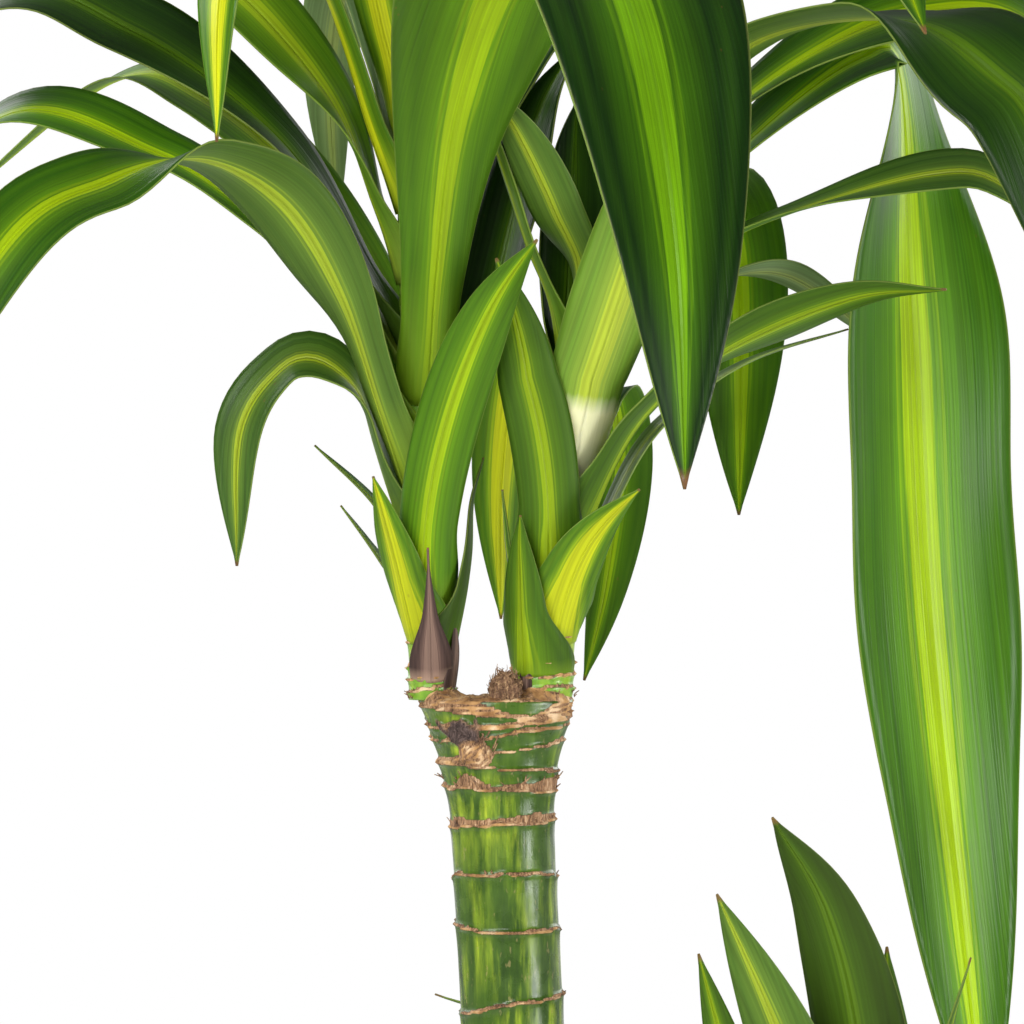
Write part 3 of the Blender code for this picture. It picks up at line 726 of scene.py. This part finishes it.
def blade_rows(row, stem):
    """Rows of points across the leaf, and for each row its place along the leaf, its width and its run."""
    name, base, heading, width, rolls, drift, route = row
    seed = sum(map(ord, name))
    out = outward(math.radians(heading))
    side = Vector((-out.y, out.x, 0))
    dry = "dry" in name
    short = "bract" in name or "sheath" in name
    clear = stem_radius(stem, base) + GAP + CAD_LEAF_THICKNESS / 2
    start = Vector((clear / math.cos(CLASP / ACROSS / 2), base))
    line = smooth_through([start, *route])
    length = sum((b - a).length for a, b in zip(line, line[1:]))
    steps = max(LEAST_STATIONS, round(length / BLADE_STATION))
    flat, length = evenly(line, steps)
    highest = base
    points = []
    for i, (reach, height) in enumerate(flat):
        highest = max(highest, height)
        centre = axis_at(stem, highest)
        centre.z = height
        points.append(FORK + centre + reach * out + drift * (i / steps) ** 2 * side)
    foot = min(FOOT_SHARE * width, CLASP * flat[0][0])
    skin_radius = stem_radius(stem, base) + SKIN_GAP
    sheath = min(SHEATH_WRAP * skin_radius, (DRY_SPREAD if dry else SHEATH_SPREAD) * width)
    sheath_height = SHEATH_HEIGHT * (SHORT_SHEATH if short else 1)
    rows = []
    for i, point in enumerate(points):
        along = i / steps
        run = along * length
        tangent = (points[min(i + 1, steps)] - points[max(i - 1, 0)]).normalized()
        freed = settle(run / sheath_height)
        reach = flat[i][0] - (flat[0][0] - skin_radius) * (1 - freed)
        point = point + (reach - flat[i][0]) * out
        wide = leaf_width(along, width, foot, short, dry)
        wide = max(wide, sheath + (wide - sheath) * freed)
        most = SHEATH_WRAP + (CLASP - SHEATH_WRAP) * freed
        curl = min(max(wide * max(abs(tangent.z), LEAST_SLOPE) / reach, CHANNEL), most)
        turn = Matrix.Rotation(math.radians(roll_at(rolls, along)), 3, tangent)
        level = turn @ (side - side.dot(tangent) * tangent).normalized()
        inward = tangent.cross(level)
        ball = wide / curl
        found = []
        for j in range(BLADE_PANELS + 1):
            share = 2 * j / BLADE_PANELS - 1
            angle = share * curl / 2
            wave = EDGE_WAVE * wide * share**2 * math.sin(run / WAVE_RUN + seed + 1.4 * share)
            wave *= bell(along - 0.5, 0.42)
            crease = CREASE * wide * bell(share, CREASE_HALF)
            up = ball * (1 - math.cos(angle)) + wave - crease
            found.append(point + ball * math.sin(angle) * level + up * inward)
        rows.append((found, along, wide, run))
    return rows


def add_maps(obj, per_row, place_at):
    """UV map blade is the share across and along. Map grain is the same place in decimetres."""
    blade = obj.data.uv_layers.new(name="blade")
    grain = obj.data.uv_layers.new(name="grain")
    for loop in obj.data.loops:
        r, j = divmod(loop.vertex_index, per_row)
        blade.data[loop.index].uv, grain.data[loop.index].uv = place_at(r, j)


def add_blade_maps(obj, rows):
    shift = (sum(map(ord, obj.name)) % 97) * 0.37  # a different grain on each leaf

    def place_at(r, j):
        _, along, wide, run = rows[r]
        across = j / BLADE_PANELS
        return (across, along), ((across - 0.5) * wide / 100 + shift, run / 100 + shift)

    add_maps(obj, BLADE_PANELS + 1, place_at)


def make_leaf(row, stem, looks):
    rows = blade_rows(row, stem)
    name = row[0]
    points, faces = skin([found for found, *_ in rows], closed=False)
    kinds = LOOKS.get(name, "striped")
    upper, under = (kinds, kinds) if isinstance(kinds, str) else kinds
    faces = [face[::-1] for face in faces]
    both = [looks[upper][0], looks[under][1]]
    obj = mesh_object(name + "_blade", points, faces, both, node=name)
    add_blade_maps(obj, rows)
    solidify(obj, BLADE_THICKNESS, second_material=True)


def make_spear(name, stem, length, radius, lean, looks):
    """A rolled new leaf: one sheet wound round itself from edge to edge."""
    foot = FORK + axis_at(stem, math.inf) + Vector((0, 0, GAP))
    rows = []
    for i in range(SPEAR_STEPS + 1):
        along = i / SPEAR_STEPS
        centre = foot + Vector((lean[0] * along**2, lean[1] * along**2, length * along))
        swell = radius * (0.72 + 1.1 * along * (1 - along)) * (1 - along**5) + 0.3
        found = []
        for j in range(SPEAR_PANELS + 1):
            share = j / SPEAR_PANELS
            angle = share * SPEAR_TURNS + along
            ball = swell * (0.72 + 0.26 * share)
            found.append(centre + Vector((ball * math.cos(angle), ball * math.sin(angle), 0)))
        rows.append(found)

    def place_at(r, j):
        across = j / SPEAR_PANELS
        along = r / SPEAR_STEPS
        return (across, 0.12 + 0.8 * along), (0.5 * across, length / 100 * along)

    points, faces = skin(rows, closed=False)
    obj = mesh_object(name + "_blade", points, faces, looks["light"], node=name)
    add_maps(obj, SPEAR_PANELS + 1, place_at)
    solidify(obj, BLADE_THICKNESS, second_material=True)


def scar_list():
    """Every scar as (height, tilt, sag, breadth): the upper ones listed, the rest at nearly even steps."""
    chance = random.Random(SEED)
    scars = [(FORK.z - depth, tilt, sag, breadth) for depth, tilt, sag, breadth in UPPER_SCARS]
    height = scars[-1][0] - SCAR_SPACING
    while height > SOIL_TOP - 10:
        tilt, sag, breadth = (chance.uniform(*ends) for ends in ((-2.5, 2.5), (-1.5, 1.5), (0.8, 1.5)))
        scars.append((height, tilt, sag, breadth))
        height -= SCAR_SPACING * chance.uniform(0.85, 1.15)
    return scars


def bark_point(centre, wide, deep, turn, height, scars, seed):
    """A point on a stem's skin and its scar, edge and patch values. A scar is a sharp, pale edge with torn
    tissue of uneven height above it, and the skin under it stands a little proud. Close to the fork the
    tissue is in smooth ribs along the scar, and further down it is combed upwards."""
    around = outward(turn)
    x, y = around.x * CANE_RADIUS, around.y * CANE_RADIUS
    lift, scar, edge = 0.0, 0.0, 0.0
    nearest = math.inf
    for mark, tilt, sag, breadth in scars:
        if abs(height - mark) > SCAR_REACH:
            continue
        line = mark + tilt * around.x - sag * around.y
        line = line + rough(x, y, mark * 3, 12) + 0.4 * rough(x, y, mark * 5, 3)
        gap = height - line
        nearest = min(nearest, abs(gap))
        torn = breadth * max(0.15, 0.75 + 1.5 * rough(x, y, mark * 7 + seed, 10))
        torn += 0.5 * rough(x, y, mark + 31, 1.5)
        in_torn = settle((gap + 0.5) / 0.5) * settle((torn + 0.6 - gap) / 0.6)
        combed = rough(x * 2, y * 2, mark * 3 + 0.3 * height, 1.4)
        if mark > FORK.z - RIBBED_DEPTH:
            ribbed = math.cos(math.tau * gap / RIB_SPACING + 5 * rough(x, y, mark, 9))
            combed = 0.9 * ribbed
            edge = max(edge, in_torn * (0.42 + 0.55 * ribbed + 0.7 * rough(x, y, mark + 3, 4)))
        ledge = 0.55 * math.exp(gap / 4) if gap < 0 else 0.55 * bell(gap, 0.35)
        lift += ledge + in_torn * (0.25 + 0.45 * combed) + 0.35 * bell(gap, 0.45)
        scar = max(scar, in_torn)
        edge = max(edge, bell(gap, 0.4) * (0.6 + rough(x, y, mark * 11, 5)))
    lift += 0.1 * rough(x, y, height * 0.4, 3)
    patch = max(0.0, min(1.0, 0.4 + 1.5 * rough(x, y, height * 0.3 + seed, 9))) * min(1, nearest / 3)
    return centre + Vector(((wide + lift) * around.x, (deep + lift) * around.y, 0)), scar, edge, patch


def bud_shape(turn, height):
    """How far the brown bud and the dead scales above it stand out, and their scar, edge and husk values.
    The bud is a knob with rings round it, and the scales are a wedge that leans aside."""
    bud_turn, bud_depth = BUD
    aside = ((turn - bud_turn + math.pi) % math.tau - math.pi) * CANE_RADIUS
    up = height - (FORK.z - bud_depth)
    from_eye = math.hypot(aside, up)
    rings = math.cos(from_eye * math.tau / 1.35 + 1.2 * rough(aside, up, 4, 2.5))
    in_eye = settle((4.6 - from_eye) / 0.9)
    eye = in_eye * (1.2 + 1.5 * settle((4.2 - from_eye) / 3) + 0.22 * rings)
    lean = aside + 0.42 * up
    half = 2.6 + 0.42 * up
    in_wedge = settle((up - 1) / 2) * settle((10 + 4 * rough(lean, 0, 9, 2) - up) / 1.6)
    in_wedge = in_wedge * settle((half - abs(lean)) / 1.2) * (1 - in_eye)
    folds = 1.5 + 1.0 * abs(rough(lean * 1.6, up * 0.35, 5, 1.4)) - 0.9 * bell(lean - 0.5, 0.5)
    scar = max(settle((5 - from_eye) / 0.6), in_wedge)
    return max(eye, in_wedge * folds), scar, in_eye * (0.45 + 0.5 * rings), in_wedge


def collar_top(x, y):
    """The cane's upper face: torn tissue that rises round each shoot's foot, higher between the shoots."""
    nearest = math.inf
    for stem in ("left_shoot", "right_shoot"):
        foot = axis_at(stem, 0)
        nearest = min(nearest, abs(math.hypot(x - foot.x, y - foot.y) - stem_radius(stem, 0)))
    ridges = 1.2 * abs(rough(x * 0.6, y * 2.4, 3, 3)) + 0.8 * rough(x, y, 8, 1.6)
    return 1.0 + 2.6 * bell(nearest, 2.4) + ridges


def bark_rings(heights, panels, at, scars, seed, lift=0, bud=None):
    """Rings up a stem, and the scar, edge, patch and husk values of their points. lift is how far above the
    floor the heights start."""
    rows, values = [], []
    for height in heights:
        centre, wide, deep = at(height)
        ring = []
        for j in range(panels):
            turn = math.tau * j / panels
            point, scar, edge, patch = bark_point(centre, wide, deep, turn, height + lift, scars, seed)
            out, brown, rim, husk = bud(turn, height) if bud else (0, 0, 0, 0)
            ring.append(point + out * outward(turn))
            values.append((max(scar, brown), rim if brown > 0.5 else edge, patch, husk))
        rows.append(ring)
    return rows, values


def add_bark(name, rows, values, look, node):
    points, faces = skin(rows)
    obj = mesh_object(name, points, faces, [look], node=node)
    scar, edge, patch, husk = zip(*values)
    point_values(obj, scar=scar, edge=edge, patch=patch, husk=husk)


def between(low, high, row):
    count = round((high - low) / row)
    return [low + (high - low) * i / count for i in range(count + 1)]


def make_cane(look):
    def at(height):
        return cane_centre(height), *cane_widths(height)

    heights = between(CANE_FOOT.z, FORK.z, CANE_ROW)
    rows, values = bark_rings(heights, CANE_PANELS, at, scar_list(), 0, bud=bud_shape)
    wide, deep = cane_widths(FORK.z)
    for share in COLLAR_RINGS:
        ring = []
        for j in range(CANE_PANELS):
            turn = math.tau * j / CANE_PANELS
            x, y = wide * share * math.cos(turn), deep * share * math.sin(turn)
            ring.append(FORK + Vector((x, y, collar_top(x, y) * settle((1.05 - share) / 0.15))))
            values.append((0.9, 0.5 + rough(x * 0.5, y * 2, 2, 2), 0.0, 0.0))
        rows.append(ring)
    add_bark("cane_bark", rows, values, look, "cane")


def make_stem(stem, look):
    """A green stem with a few brown rings at its foot and fine ones further up."""
    line = STEMS[stem][0]
    low, high = line[0][2], line[-1][2]
    rings = range(0, int(high - low), LOW_STEM_SCAR_SPACING) if stem == "low_stem" else YOUNG_SCARS
    scars = [(FORK.z + low + up, 0.9, 0.4, 0.9 if up < 12 else 0.25) for up in rings]

    def at(height):
        radius = stem_radius(stem, height)
        return FORK + axis_at(stem, height), radius, radius

    rows, values = bark_rings(between(low, high, STEM_ROW), STEM_PANELS, at, scars, 40, FORK.z)
    values = [(0.9 * scar, *rest) for scar, *rest in values]
    add_bark(stem + "_skin", rows, values, look, stem)


def fibre(points, faces, start, direction, droop, length, width, chance):
    """Adds one flat, tapering fibre as a curled strip to the lists."""
    direction = direction.normalized()
    across = direction.cross(droop)
    if across.length < 0.01:
        across = direction.orthogonal()
    across.normalize()
    steps = 5
    first = len(points)
    sway = chance.uniform(-0.5, 0.5)
    for i in range(steps + 1):
        share = i / steps
        centre = start + length * share * direction + length * share**2 * (0.6 * droop + sway * across)
        half = 0.5 * width * (1 - 0.8 * share)
        points.extend([centre - half * across, centre + half * across])
    for i in range(steps):
        a = first + 2 * i
        faces.append((a, a + 1, a + 3, a + 2))


def scar_fibre(points, faces, scar, chance):
    """One short flake that stands up from a scar's torn side."""
    height, tilt, sag, breadth = scar
    turn = chance.uniform(0, math.tau)
    around = outward(turn)
    wide, deep = cane_widths(height)
    spot = height + tilt * around.x - sag * around.y + chance.uniform(0, 0.8) * breadth
    start = cane_centre(spot) + Vector(((wide + 0.2) * around.x, (deep + 0.2) * around.y, 0))
    sideways = Vector((-around.y, around.x, 0)) * chance.uniform(-0.8, 0.8)
    direction = sideways + 0.35 * around + Vector((0, 0, chance.uniform(0.2, 1)))
    length = chance.uniform(0.8, 1.8) * (0.6 + 0.5 * breadth)
    fibre(points, faces, start, direction, 0.5 * around, length, chance.uniform(0.4, 1.1), chance)


def make_torn_fibres(look):
    """Flakes of old leaf base along the upper scars, the collar under the shoots and round the bud."""
    chance = random.Random(SEED + 1)
    points, faces = [], []
    for scar in scar_list()[3:20]:
        for _ in range(int(9 * scar[3])):
            scar_fibre(points, faces, scar, chance)
    for _ in range(COLLAR_FIBRES):
        turn = chance.uniform(0, math.tau)
        stem = chance.choice(("left_shoot", "right_shoot"))
        around = outward(turn)
        start = FORK + axis_at(stem, 0) + (stem_radius(stem, 0) + chance.uniform(0, 1.2)) * around
        start.z += chance.uniform(0.5, 2.5)
        direction = Vector((chance.uniform(-0.6, 0.6), chance.uniform(-0.6, 0.6), 1)) + 0.4 * around
        length = chance.uniform(0.8, 2)
        fibre(points, faces, start, direction, 0.6 * around, length, chance.uniform(0.5, 1.4), chance)
    for _ in range(BUD_FIBRES):
        turn = BUD[0] + chance.gauss(0, 0.22)
        around = outward(turn)
        height = FORK.z - BUD[1] + chance.uniform(3, 9)
        start = cane_centre(height) + (cane_widths(height)[1] + 1.2) * around
        direction = 0.4 * around + Vector((chance.uniform(-0.5, 0.5), 0, -1))
        droop, length = Vector((0, 0, -0.5)), chance.uniform(2, 5)
        fibre(points, faces, start, direction, droop, length, chance.uniform(0.4, 1), chance)
    obj = mesh_object("torn_scar_fibres", points, faces, [look])
    solidify(obj, 0.25)


def stub_radius(share):
    return STUB_RADIUS * math.sin(math.pi * (0.2 + 0.78 * share)) ** 0.6


def make_stub(look):
    """The old cane's dead end: a lumpy core under a mat of broken fibres."""
    chance = random.Random(SEED + 2)
    centre = FORK + STUB_PLACE
    rows = []
    for i in range(STUB_STEPS + 1):
        share = i / STUB_STEPS
        ring = []
        for j in range(STUB_PANELS):
            place = stub_radius(share) * outward(math.tau * j / STUB_PANELS)
            place.z = STUB_HEIGHT * share
            lump = 0.2 * rough(*place, 3) + 0.16 * rough(place.x * 3, place.y * 3, place.z, 1.2)
            ring.append(centre + Vector((place.x * (1 + lump), place.y * (1 + lump), place.z)))
        rows.append(ring)
    points, faces = skin(rows)
    mesh_object("cane_stub_core", points, faces, [look], node="cane_stub")
    points, faces = [], []
    for _ in range(STUB_FIBRES):
        turn, share = chance.uniform(0, math.tau), chance.uniform(0.02, 0.98)
        around = outward(turn)
        start = centre + stub_radius(share) * around + Vector((0, 0, STUB_HEIGHT * share))
        along_skin = Vector((-around.y, around.x, 0)) * chance.uniform(-1, 1)
        direction = along_skin + 0.25 * around + Vector((0, 0, chance.uniform(-0.8, 1)))
        length = chance.uniform(1.2, 3.4)
        fibre(points, faces, start, direction, -0.5 * around, length, chance.uniform(0.25, 0.6), chance)
    obj = mesh_object("cane_stub_fibres", points, faces, [look])
    solidify(obj, 0.15)


def make_dry_slivers(looks):
    """Dead remains of the first sheaths on the shoots' inner sides, with no node of their own."""
    for name, stem, base, heading, width, route in DRY_SLIVERS:
        row = (name, base, heading, width, (0, 0), 0, route)
        rows = blade_rows(row, stem)
        points, faces = skin([found for found, *_ in rows], closed=False)
        obj = mesh_object(name, points, [face[::-1] for face in faces], looks["dry"])
        add_blade_maps(obj, rows)
        solidify(obj, BLADE_THICKNESS, second_material=True)


def turned(profile, steps):
    """Points and faces of a body turned about Z, from (radius, height) pairs from axis to axis."""
    shape = bmesh.new()
    made = [shape.verts.new((radius, 0, height)) for radius, height in profile]
    edges = [shape.edges.new(pair) for pair in zip(made, made[1:])]
    bmesh.ops.spin(shape, geom=made + edges, cent=(0, 0, 0), axis=(0, 0, 1), angle=math.tau, steps=steps)
    bmesh.ops.remove_doubles(shape, verts=shape.verts, dist=0.01)
    bmesh.ops.recalc_face_normals(shape, faces=shape.faces)
    shape.verts.index_update()
    points = [v.co.copy() for v in shape.verts]
    faces = [tuple(v.index for v in face.verts) for face in shape.faces]
    shape.free()
    return points, faces


def arc(centre, radius, start, stop, count):
    """(radius, height) pairs on a rounded edge, by angle in degrees."""
    turns = [math.radians(start + (stop - start) * i / count) for i in range(count + 1)]
    return [(centre[0] + radius * math.cos(a), centre[1] + radius * math.sin(a)) for a in turns]


def make_pot(look):
    """The pot's fine shape: a rounded foot, a rolled rim over a small ledge, and drain holes cut through."""
    lip = POT_HEIGHT - LIP_HEIGHT
    slope = (POT_RIM_RADIUS - LIP_OUT - POT_BASE_RADIUS) / lip
    inner_rim = POT_RIM_RADIUS - POT_WALL - LIP_OUT
    profile = [(0, 0)]
    profile += arc((POT_BASE_RADIUS - POT_CORNER, POT_CORNER), POT_CORNER, -90, 0, 6)
    for height in (40, 42, 80, 120, 160):
        profile.append((POT_BASE_RADIUS + slope * height, height))
    profile += [(POT_RIM_RADIUS - LIP_OUT, lip - 2)]
    profile += arc((POT_RIM_RADIUS - 1.2, lip + 1.6), 1.4, -100, 0, 5)
    profile += [(POT_RIM_RADIUS + 0.2, lip + 6), (POT_RIM_RADIUS + 0.4, POT_HEIGHT - 4)]
    profile += arc((POT_RIM_RADIUS - 1.2, POT_HEIGHT - 1.8), 1.8, 0, 180, 10)
    inner_foot = POT_BASE_RADIUS - POT_WALL + slope * POT_WALL
    profile += [(inner_rim + 0.4, lip + 2), (inner_foot, POT_WALL), (0, POT_WALL)]
    points, faces = turned(profile, POT_PANELS)
    pot = mesh_object("pot_shell", points, faces, [look], node="pot")
    pot.data.set_sharp_from_angle(angle=math.radians(50))
    shape = bmesh.new()
    for i in range(DRAIN_HOLES):
        place = Matrix.Translation(DRAIN_CIRCLE_RADIUS * MM * outward(math.tau * i / DRAIN_HOLES))
        size = DRAIN_HOLE_RADIUS * MM
        sizes = {"segments": 32, "radius1": size, "radius2": size, "depth": 4 * POT_WALL * MM}
        bmesh.ops.create_cone(shape, cap_ends=True, matrix=place, **sizes)
    cutter_mesh = bpy.data.meshes.new("drain_cutter")
    shape.to_mesh(cutter_mesh)
    shape.free()
    cutter = bpy.data.objects.new("drain_cutter", cutter_mesh)
    link(cutter)
    holes = pot.modifiers.new("drain_holes", "BOOLEAN")
    holes.operation = "DIFFERENCE"
    holes.solver = "EXACT"
    holes.object = cutter
    graph = bpy.context.evaluated_depsgraph_get()
    cut_mesh = bpy.data.meshes.new_from_object(pot.evaluated_get(graph))
    pot.modifiers.clear()
    pot.data = cut_mesh
    bpy.data.objects.remove(cutter)


def soil_height(x, y):
    edge = max(0, (math.hypot(x, y) - 80) / 33)
    lumps = 1.5 * rough(x, y, 0, 26) + 0.8 * rough(x, y, 9, 7) + 0.4 * rough(x, y, 4, 2.4)
    return SOIL_TOP - 0.2 - 2.2 * edge**2 + lumps


def make_soil(look, chips_look):
    floor = POT_WALL + GAP
    top_radius = POT_RIM_RADIUS - POT_WALL - LIP_OUT - GAP
    foot_radius = POT_BASE_RADIUS - POT_WALL - GAP
    below = [(0.001, floor), (foot_radius, floor), (top_radius, POT_HEIGHT - LIP_HEIGHT)]
    radii = [top_radius * (1 - i / SOIL_RINGS) for i in range(SOIL_RINGS)]
    rows = []
    for radius, height in below + [(radius, None) for radius in radii]:
        ring = []
        for j in range(SOIL_PANELS):
            turn = math.tau * j / SOIL_PANELS
            x, y = radius * math.cos(turn), radius * math.sin(turn)
            ring.append(Vector((x, y, soil_height(x, y) if height is None else height)))
        rows.append(ring)
    points, faces = skin(rows)
    mesh_object("soil_body", points, faces, [look], node="soil")
    chance = random.Random(SEED + 3)
    points, faces, perlite = [], [], []
    for _ in range(SOIL_CHIPS):
        turn, out = chance.uniform(0, math.tau), (top_radius - 4) * math.sqrt(chance.random())
        x, y = out * math.cos(turn), out * math.sin(turn)
        white = chance.random() < PERLITE_SHARE
        size = chance.uniform(0.9, 1.9) if white else chance.uniform(0.8, 3.4)
        ends = ((0.75, 1), (0.7, 1)) if white else ((0.3, 0.8), (0.25, 0.5))
        squash = (1, *(chance.uniform(*pair) for pair in ends))
        spin = Matrix.Rotation(chance.uniform(0, math.tau), 3, "Z")
        spin = spin @ Matrix.Rotation(chance.uniform(-0.5, 0.5), 3, "X")
        shape = bmesh.new()
        bmesh.ops.create_icosphere(shape, subdivisions=1, radius=size)
        first = len(points)
        for v in shape.verts:
            corner = spin @ Vector([a * b for a, b in zip(v.co, squash)]) * chance.uniform(0.75, 1.2)
            points.append(corner + Vector((x, y, soil_height(x, y) + 0.25 * size)))
            perlite.append(1.0 if white else 0.0)
        faces.extend(tuple(first + v.index for v in face.verts) for face in shape.faces)
        shape.free()
    chips = mesh_object("soil_chips", points, faces, [chips_look])
    point_values(chips, perlite=perlite)


# ---- stage ----


def make_floor():
    n = Nodes("pale_floor")
    n.principled(Base_Color=(0.86, 0.86, 0.85), Roughness=0.8)
    mesh = bpy.data.meshes.new("floor")
    corners = [(x * FLOOR_HALF, y * FLOOR_HALF, 0) for x, y in ((-1, -1), (1, -1), (1, 1), (-1, 1))]
    mesh.from_pydata(corners, [], [(0, 1, 2, 3)])
    mesh.materials.append(n.material)
    obj = bpy.data.objects.new("floor", mesh)
    link(obj)


def make_world():
    """White all round at eye level, softer overhead and darker below."""
    world = bpy.data.worlds.new("white_studio")
    bpy.context.scene.world = world
    n = Nodes("", world)
    up = n.add("SeparateXYZ", {0: n.add("TexCoord").outputs["Generated"]}).outputs["Z"]
    share = n.add("MapRange", {"Value": up, "From Min": -1}).outputs[0]
    stops = [(0.0, 0.15), (0.4, 0.18), (0.437, 1.0), (0.563, 1.0), (0.6, 0.2), (1.0, 0.35)]
    n.feed(n.tree.nodes["Background"].inputs["Color"], n.grey_ramp(share, stops))


def make_light(name, place, target, size, power):
    light = bpy.data.lights.new(name, "AREA")
    light.size = size
    light.energy = power
    obj = bpy.data.objects.new(name, light)
    obj.location = place
    obj.rotation_euler = (Vector(target) - Vector(place)).to_track_quat("-Z", "Y").to_euler()
    link(obj)


def make_camera():
    camera = bpy.data.cameras.new("camera")
    camera.sensor_width = SENSOR_WIDTH
    camera.lens = CAMERA_LENS
    obj = bpy.data.objects.new("camera", camera)
    obj.location = CAMERA_PLACE
    obj.rotation_euler = (math.radians(90), 0, 0)
    link(obj)
    bpy.context.scene.camera = obj


make_camera()
make_floor()
make_world()
for light in LIGHTS:
    make_light(*light)

leaf_looks = {kind: [leaf_material(kind, False), leaf_material(kind, True)] for kind in LEAF_COLOURS}
young_bark = bark_material("young_stem_skin", young=True)
fibres = fibre_material()
make_dry_slivers(leaf_looks)
make_pot(pot_material())
make_soil(soil_material(), chip_material())
make_cane(bark_material("cane_bark"))
make_torn_fibres(fibres)
make_stub(fibres)
for stem_name, stem_leaves in LEAVES.items():
    make_stem(stem_name, young_bark)
    for leaf in stem_leaves:
        make_leaf(leaf, stem_name, leaf_looks)
for spear_name, (stem_name, spear_length, spear_radius, spear_lean) in SPEARS.items():
    make_spear(spear_name, stem_name, spear_length, spear_radius, spear_lean, leaf_looks)

bpy.context.scene.view_settings.view_transform = "Standard"
